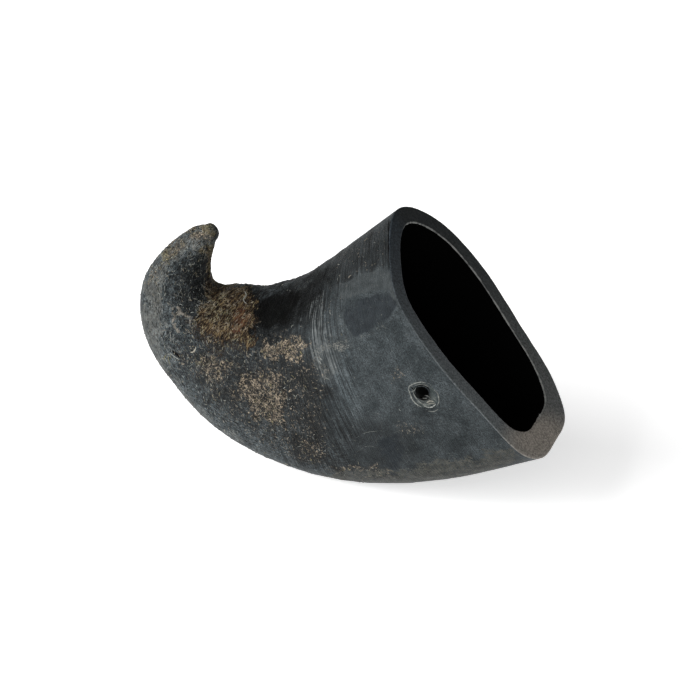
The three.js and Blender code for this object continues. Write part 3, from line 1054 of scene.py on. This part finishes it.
# %% [markdown]
# ### Scraped and weathered keratin
#
# Buffalo keratin is nearly black all through. Scraping leaves a satin of fine scratches, and
# years of handling and drying leave a dull, slightly porous skin. So the base colour is very
# dark, the roughness is middling and the gloss is far weaker than that of polished horn, whose
# index of refraction is about 1.54. A stronger gloss would lay one grey veil over all colours.
#
# Over that lie streaks that follow the growth rings, tan flecks where the skin has worn
# through, the brown flakes behind the tip and the painted shade and soot of the hollow. First
# come the patterns, each with the size of its grain in millimetres: along the growth, then round the horn.
# Real scratches and grit are a tenth of that, so these are drawn as coarse as they need to be
# to show at arm's length.

# %% The patterns of the outside
weathered = bpy.data.materials.new("weathered_buffalo_keratin")
weathered.use_nodes = True
tree = weathered.node_tree
shader = tree.nodes["Principled BSDF"]
KERATIN_IOR = 1.54
DULL_GLOSS = 0.08
shader.inputs["IOR"].default_value = KERATIN_IOR
shader.inputs["Specular IOR Level"].default_value = DULL_GLOSS

growth = add(tree, "ShaderNodeAttribute", attribute_name="growth_mm").outputs["Vector"]
place = add(tree, "ShaderNodeAttribute", attribute_name="place_mm").outputs["Vector"]
mask_of = {name: add(tree, "ShaderNodeAttribute", attribute_name=name).outputs["Fac"] for name in masks}

PATTERNS = {
    # space, grain in mm, detail, curl
    "streaks": (growth, (0.42, 13.0, 13.0), 3.0, 0.0),
    "scratches": (growth, (0.3, 5.0, 5.0), 2.0, 0.3),
    "bands": (growth, (3.0, 30.0, 30.0), 2.0, 0.0),
    "fibres": (growth, (0.55, 1.5, 1.5), 3.0, 0.8),
    "grain": (growth, (2.0, 0.42, 0.42), 3.0, 0.5),
    "flecks": (place, (0.75, 0.75, 0.75), 3.0, 1.2),
    "grit": (place, (0.45, 0.45, 0.45), 3.0, 0.0),
    "tints": (place, (2.2, 2.2, 2.2), 2.0, 0.0),
    "clouds": (place, (6.0, 6.0, 6.0), 4.0, 0.0),
}
pattern = {}
for name, (space, size_mm, detail, curl) in PATTERNS.items():
    scaled = add(
        tree, "ShaderNodeVectorMath", {0: space, 1: [1 / size for size in size_mm]}, operation="MULTIPLY"
    ).outputs[0]
    pattern[name] = add(
        tree, "ShaderNodeTexNoise", {"Vector": scaled, "Scale": 1.0, "Detail": detail, "Distortion": curl}
    ).outputs["Fac"]
print(len(pattern), "patterns and", len(mask_of), "masks")

# %% The dark base, made lighter and darker by streaks and grit
base = add(
    tree, "ShaderNodeMix", {
        "Factor": add(
            tree, "ShaderNodeMapRange", {"Value": pattern["clouds"], "From Min": 0.35, "From Max": 0.65}
        ).outputs["Result"],
        6: linear("#262b2d"),
        7: linear("#373c3e"),
    }, data_type="RGBA"
).outputs[2]

# Pattern, the mask that strengthens it, its own strength everywhere, and the strength of the mask.
SWINGS = [
    ("streaks", "streaky", 0.03, 0.62),
    ("scratches", "streaky", 0.08, 0.35),
    ("bands", "streaky", 0.04, 0.2),
    ("grit", "pitted", 0.50, 0.2),
    ("flecks", "pitted", 0.26, 0.25),
    ("grain", "pitted", 0.0, 0.95),
    ("tints", "pitted", 0.08, 0.12),
    ("fibres", "pitted", 0.0, 0.45),
    ("clouds", "pitted", 0.06, 0.06),
]
colour = base
for name, mask_name, everywhere, in_mask in SWINGS:
    swing = add(
        tree, "ShaderNodeMapRange",
        {"Value": pattern[name], "From Min": 0.32, "From Max": 0.68, "To Min": -1.0, "To Max": 1.0},
    ).outputs["Result"]
    strength = add(
        tree, "ShaderNodeMath", {0: mask_of[mask_name], 1: in_mask, 2: everywhere}, operation="MULTIPLY_ADD"
    ).outputs[0]
    level = add(tree, "ShaderNodeMath", {0: swing, 1: strength, 2: 1.0}, operation="MULTIPLY_ADD").outputs[0]
    colour = add(tree, "ShaderNodeVectorMath", {0: colour, "Scale": level}, operation="SCALE").outputs[0]

# Painted shade by the hollow, on the upper wall and in the fibrous middle, and painted light with some
# bleaching on the left.
light_and_shade_level = add(
    tree, "ShaderNodeMath", {0: mask_of["painted_shade"], 1: -0.7, 2: 1.0}, operation="MULTIPLY_ADD"
).outputs[0]
light_and_shade_level = add(
    tree, "ShaderNodeMath", {0: mask_of["painted_light_and_bleach"], 1: 0.9, 2: light_and_shade_level}, operation="MULTIPLY_ADD"
).outputs[0]
colour = add(tree, "ShaderNodeVectorMath", {0: colour, "Scale": light_and_shade_level}, operation="SCALE").outputs[0]
print(len(SWINGS), "patterns swing the base colour")

# %% [markdown]
# Each weathered place is a layer over the base. A layer shows where its pattern plus its mask
# passes a threshold. A low threshold covers the whole place with a ragged border, and a high
# one leaves only the peaks of the pattern, which are the single flecks.

# %% Lay the weathered places over the base
LAYERS = [
    # mask, dark colour, light colour, pattern, lift of the mask, start, end, cover
    # Pale grey on the left and at the tip: painted light, with some bleaching.
    ("painted_light_and_bleach", "#4e4d49", "#68665f", "grain", 0.42, 0.64, 1.06, 0.62),
    ("scraped", "#2b2f30", "#373b3c", "clouds", 0.56, 0.78, 0.98, 0.8),
    ("smooth", "#11161a", "#1b2024", "clouds", 0.5, 0.74, 1.02, 0.86),
    ("belly", "#30302c", "#474640", "flecks", 0.45, 0.80, 1.00, 0.85),
    ("scratched", "#414444", "#646868", "streaks", 0.40, 0.86, 1.00, 0.8),
    ("dust", "#454844", "#69675f", "flecks", 0.30, 0.78, 0.88, 0.6),
    ("chalk", "#474946", "#6f6e68", "grit", 0.33, 0.76, 0.88, 0.75),
    ("tan", "#0e0c09", "#211c16", "grit", 0.34, 0.76, 0.88, 0.7),
    ("tan", "#4a4238", "#a0927e", "flecks", 0.32, 0.77, 0.94, 0.87),
    ("brown", "#0c0805", "#2c2016", "grit", 0.60, 0.78, 0.96, 0.95),
    ("brown", "#4e3d2a", "#8a7858", "fibres", 0.30, 0.80, 0.91, 0.8),
    ("orange", "#3a2115", "#684430", "grit", 0.60, 0.92, 1.10, 0.6),
    # Near black over the hollow of the curl: painted shade, with some soot.
    ("hollow_shade_and_soot", "#030303", "#080807", "grit", 0.60, 0.66, 1.04, 0.97),
    ("pale", "#56524b", "#88837a", "grit", 0.80, 0.74, 1.10, 0.75),
    ("dish", "#303635", "#4a4f4d", "fibres", 0.50, 0.78, 0.98, 0.8),
    ("lip", "#454a48", "#6b6f6b", "flecks", 0.60, 0.80, 0.98, 0.8),
    # Near black in the nick, the pits and the mouth of the hole: painted shade, with some dirt.
    ("shade_and_dirt_black", "#020202", "#040404", "clouds", 1.00, 0.80, 1.00, 1.0),
]
for mask_name, dark, light, pattern_name, lift_by_mask, start, end, cover_limit in LAYERS:
    tinted = add(
        tree, "ShaderNodeMix", {
            "Factor": add(
                tree, "ShaderNodeMapRange", {"Value": pattern["tints"], "From Min": 0.35, "From Max": 0.65}
            ).outputs["Result"],
            6: linear(dark),
            7: linear(light),
        }, data_type="RGBA"
    ).outputs[2]
    lifted = add(
        tree, "ShaderNodeMath", {0: mask_of[mask_name], 1: lift_by_mask, 2: pattern[pattern_name]},
        operation="MULTIPLY_ADD"
    ).outputs[0]
    cover = add(
        tree, "ShaderNodeMapRange",
        {"Value": lifted, "From Min": start, "From Max": end, "To Max": cover_limit},
        interpolation_type="SMOOTHSTEP"
    ).outputs["Result"]
    colour = add(tree, "ShaderNodeMix", {"Factor": cover, 6: colour, 7: tinted}, data_type="RGBA").outputs[2]
tree.links.new(colour, shader.inputs["Base Color"])
print(len(LAYERS), "layers of wear over the base")

# %% Roughness, and bump for what is finer than the mesh
satin = add(
    tree, "ShaderNodeMapRange",
    {"Value": pattern["grit"], "From Min": 0.35, "From Max": 0.65, "To Min": 0.42, "To Max": 0.62},
).outputs["Result"]
rough = add(
    tree, "ShaderNodeMath", {0: mask_of["hollow_shade_and_soot"], 1: 0.3, 2: satin}, operation="MULTIPLY_ADD"
).outputs[0]
tree.links.new(rough, shader.inputs["Roughness"])

skin_height = pattern["scratches"]
for name, mask_name, everywhere, in_mask in (
    ("streaks", "streaky", 0.2, 0.8),
    ("grit", "pitted", 0.9, 1.2),
    ("grain", "pitted", 0.0, 3.4),
    ("fibres", "brown", 0.0, 4.0),
    ("flecks", "tan", 0.0, 1.2),
):
    strength = add(
        tree, "ShaderNodeMath", {0: mask_of[mask_name], 1: in_mask, 2: everywhere}, operation="MULTIPLY_ADD"
    ).outputs[0]
    skin_height = add(
        tree, "ShaderNodeMath", {0: pattern[name], 1: strength, 2: skin_height}, operation="MULTIPLY_ADD"
    ).outputs[0]
bump = add(
    tree, "ShaderNodeBump", {"Strength": 1.0, "Distance": 0.3 * MILLIMETRE, "Height": skin_height}
).outputs["Normal"]
tree.links.new(bump, shader.inputs["Normal"])

# Painted shade and soot take the gloss too, so smudged and sooty faces of the hollow get copies of the
# material with less.
shaded_smudged_keratin = weathered.copy()
shaded_smudged_keratin.name = "smudged_and_shaded_buffalo_keratin"
shaded_smudged_keratin.node_tree.nodes["Principled BSDF"].inputs["Specular IOR Level"].default_value = DULL_GLOSS * 0.7
shaded_sooty_keratin = weathered.copy()
shaded_sooty_keratin.name = "sooty_and_shaded_buffalo_keratin"
shaded_sooty_keratin.node_tree.nodes["Principled BSDF"].inputs["Specular IOR Level"].default_value = DULL_GLOSS * 0.4
print(weathered.name, "has", len(weathered.node_tree.nodes), "nodes")

# %% [markdown]
# ### Sawn keratin, painted shade in the cavity and the bore, and frayed fibres
#
# The saw cuts across the fibres, so the rim is matt and finely mottled. The cavity was never
# scraped, and it is painted near black with no gloss at all: painted shade for its deep inside.
# The bore is painted dark too, as shade, with a little dust. The frayed fibres are single strands
# of the same keratin, bleached to yellow and grey because light goes through something that thin.

# %% The sawn rim
sawn = bpy.data.materials.new("sawn_buffalo_keratin")
sawn.use_nodes = True
tree = sawn.node_tree
shader = tree.nodes["Principled BSDF"]
shader.inputs["IOR"].default_value = KERATIN_IOR
shader.inputs["Specular IOR Level"].default_value = DULL_GLOSS
shader.inputs["Roughness"].default_value = 0.6
place = add(tree, "ShaderNodeAttribute", attribute_name="place_mm").outputs["Vector"]
MOTTLE_MM = 0.7
mottle = add(
    tree, "ShaderNodeTexNoise", {"Vector": place, "Scale": 1 / MOTTLE_MM, "Detail": 4.0}
).outputs["Fac"]
rim_mask = {
    name: add(tree, "ShaderNodeAttribute", attribute_name=name).outputs["Fac"]
    for name in ("rim_drop", "rim_far", "rim_foot", "burr_and_highlight")
}
near_side = add(
    tree, "ShaderNodeMix", {"Factor": rim_mask["rim_drop"], 6: linear("#282e33"), 7: linear("#575b5c")},
    data_type="RGBA"
).outputs[2]
far_side = add(
    tree, "ShaderNodeMix", {"Factor": rim_mask["rim_drop"], 6: linear("#222526"), 7: linear("#555756")},
    data_type="RGBA"
).outputs[2]
colour = add(
    tree, "ShaderNodeMix", {"Factor": rim_mask["rim_far"], 6: near_side, 7: far_side}, data_type="RGBA"
).outputs[2]
colour = add(
    tree, "ShaderNodeMix", {"Factor": rim_mask["rim_foot"], 6: colour, 7: linear("#817b73")}, data_type="RGBA"
).outputs[2]
print("masks of the rim:", ", ".join(rim_mask))

# %% Mottle of the cut fibres, and the pale burr with its painted highlight
mottle_level = add(
    tree, "ShaderNodeMapRange",
    {"Value": mottle, "From Min": 0.3, "From Max": 0.7, "To Min": 0.5, "To Max": 1.55},
).outputs["Result"]
colour = add(tree, "ShaderNodeVectorMath", {0: colour, "Scale": mottle_level}, operation="SCALE").outputs[0]
# The burr's pale colour is partly a painted highlight along the edge.
burr_and_highlight_cover = add(
    tree, "ShaderNodeMapRange",
    {"Value": rim_mask["burr_and_highlight"], "From Min": 0.45, "From Max": 0.9, "To Max": 0.75},
).outputs["Result"]
colour = add(
    tree, "ShaderNodeMix", {"Factor": burr_and_highlight_cover, 6: colour, 7: linear("#8a8b88")}, data_type="RGBA"
).outputs[2]
tree.links.new(colour, shader.inputs["Base Color"])
bump = add(
    tree, "ShaderNodeBump", {"Strength": 0.6, "Distance": 0.15 * MILLIMETRE, "Height": mottle}
).outputs["Normal"]
tree.links.new(bump, shader.inputs["Normal"])
print(sawn.name, "has", len(tree.nodes), "nodes")

# %% The cavity, the bore and the fibres
cavity_shade = bpy.data.materials.new("cavity_painted_shade")
bore_shade = bpy.data.materials.new("bore_painted_shade")
frayed = bpy.data.materials.new("frayed_keratin_fibre")
for material, roughness, gloss in ((cavity_shade, 1.0, 0.0), (bore_shade, 0.9, 0.1), (frayed, 0.7, DULL_GLOSS)):
    material.use_nodes = True
    shader = material.node_tree.nodes["Principled BSDF"]
    shader.inputs["IOR"].default_value = KERATIN_IOR
    shader.inputs["Roughness"].default_value = roughness
    shader.inputs["Specular IOR Level"].default_value = gloss
# Painted shade: the cavity and the bore are near black.
for material, code in ((cavity_shade, "#040404"), (bore_shade, "#0a0c0b")):
    material.node_tree.nodes["Principled BSDF"].inputs["Base Color"].default_value = linear(code)

# A fibre's colour runs from near black, for dirt and for the painted shade in the crack and the nick, to
# clean keratin, which is pinkish tan, yellow green or grey.
tree = frayed.node_tree
look = add(tree, "ShaderNodeAttribute", attribute_name="fibre_look").outputs["Vector"]
light, green, grey = add(tree, "ShaderNodeSeparateXYZ", {"Vector": look}).outputs
clean = add(
    tree, "ShaderNodeMix", {"Factor": green, 6: linear("#9b8d78"), 7: linear("#86805f")}, data_type="RGBA"
).outputs[2]
clean = add(
    tree, "ShaderNodeMix", {"Factor": grey, 6: clean, 7: linear("#999c97")}, data_type="RGBA"
).outputs[2]
colour = add(
    tree, "ShaderNodeMix", {"Factor": light, 6: linear("#050404"), 7: clean}, data_type="RGBA"
).outputs[2]
tree.links.new(colour, tree.nodes["Principled BSDF"].inputs["Base Color"])

for material in (cavity_shade, sawn, weathered, bore_shade, shaded_smudged_keratin, shaded_sooty_keratin):
    horn_mesh.materials.append(material)
fibre_mesh.materials.append(frayed)
print("materials of the horn:", ", ".join(material.name for material in horn_mesh.materials))

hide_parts("horn")
for piece in (horn, fibres):
    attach(piece, "root")

# %% [markdown]
# ## Floor, light and camera
#
# The floor is plain and nearly white, large enough to fill the view, and it glows softly like a
# light table, so that the shadow on it stays faint. The light is soft too: one large lamp low
# at the left, a weaker one in front, and a dim pale room. A dark horn shows its shape only by
# what it reflects, so the room is kept dim and the lamps and the floor do the work: the left
# and the belly are light, and the hollow and the top stay dark. The horn's colour helps them,
# with painted light on the left and painted shade in the hollow and on the top.

# %% The floor
FLOOR_SIZE = 4.0
bpy.ops.mesh.primitive_plane_add(size=FLOOR_SIZE, location=(0, 0, 0))
floor = bpy.context.object
floor.name = "floor"
paper = bpy.data.materials.new("white_studio_paper")
paper.use_nodes = True
shader = paper.node_tree.nodes["Principled BSDF"]
shader.inputs["Base Color"].default_value = linear("#f6f6f6")
shader.inputs["Roughness"].default_value = 0.9
shader.inputs["Specular IOR Level"].default_value = 0.2
shader.inputs["Emission Color"].default_value = linear("#ffffff")
shader.inputs["Emission Strength"].default_value = 0.52
floor.data.materials.append(paper)
print(f"the floor is {FLOOR_SIZE:.0f} m square")

# %% The lamps
LAMPS = [
    # name, place in metres, size, watts
    ("left_window", (-1.35, -0.3, 0.75), 1.3, 43),
    ("front_panel", (-0.2, -1.3, 0.6), 1.2, 10),
]
AIM = Vector((0, 0, 0.04))
for name, lamp_place, size, watts in LAMPS:
    lamp = bpy.data.lights.new(name, "AREA")
    lamp.size = size
    lamp.energy = watts
    lamp_object = bpy.data.objects.new(name, lamp)
    lamp_object.location = lamp_place
    lamp_object.rotation_euler = (AIM - Vector(lamp_place)).to_track_quat("-Z", "Y").to_euler()
    bpy.context.scene.collection.objects.link(lamp_object)

world = bpy.data.worlds.new("dim_pale_room")
world.use_nodes = True
world.node_tree.nodes["Background"].inputs["Color"].default_value = linear("#ffffff")
world.node_tree.nodes["Background"].inputs["Strength"].default_value = 0.18
bpy.context.scene.world = world
bpy.context.scene.view_settings.view_transform = "Standard"
print(len(LAMPS), "lamps of", " and ".join(str(watts) for *_, watts in LAMPS), "watts")

# %% The camera
# It looks square on to the drawing from one metre away, and sees all 700 units of it.
SENSOR = 36.0
camera_data = bpy.data.cameras.new("camera")
camera_data.sensor_width = SENSOR
camera_data.lens = SENSOR * (EYE[2] - DRAWING_PLANE) / (2 * DRAWING_MIDDLE * DRAWING_UNIT)
camera_data.clip_end = 20
camera = bpy.data.objects.new("camera", camera_data)
camera.location = to_frame(EYE) * MILLIMETRE
camera.rotation_euler = (LEAN_BACK, 0, 0)
bpy.context.scene.collection.objects.link(camera)
bpy.context.scene.camera = camera
print(f"the lens is {camera_data.lens:.0f} mm, at {[round(value, 2) for value in camera.location]} m")
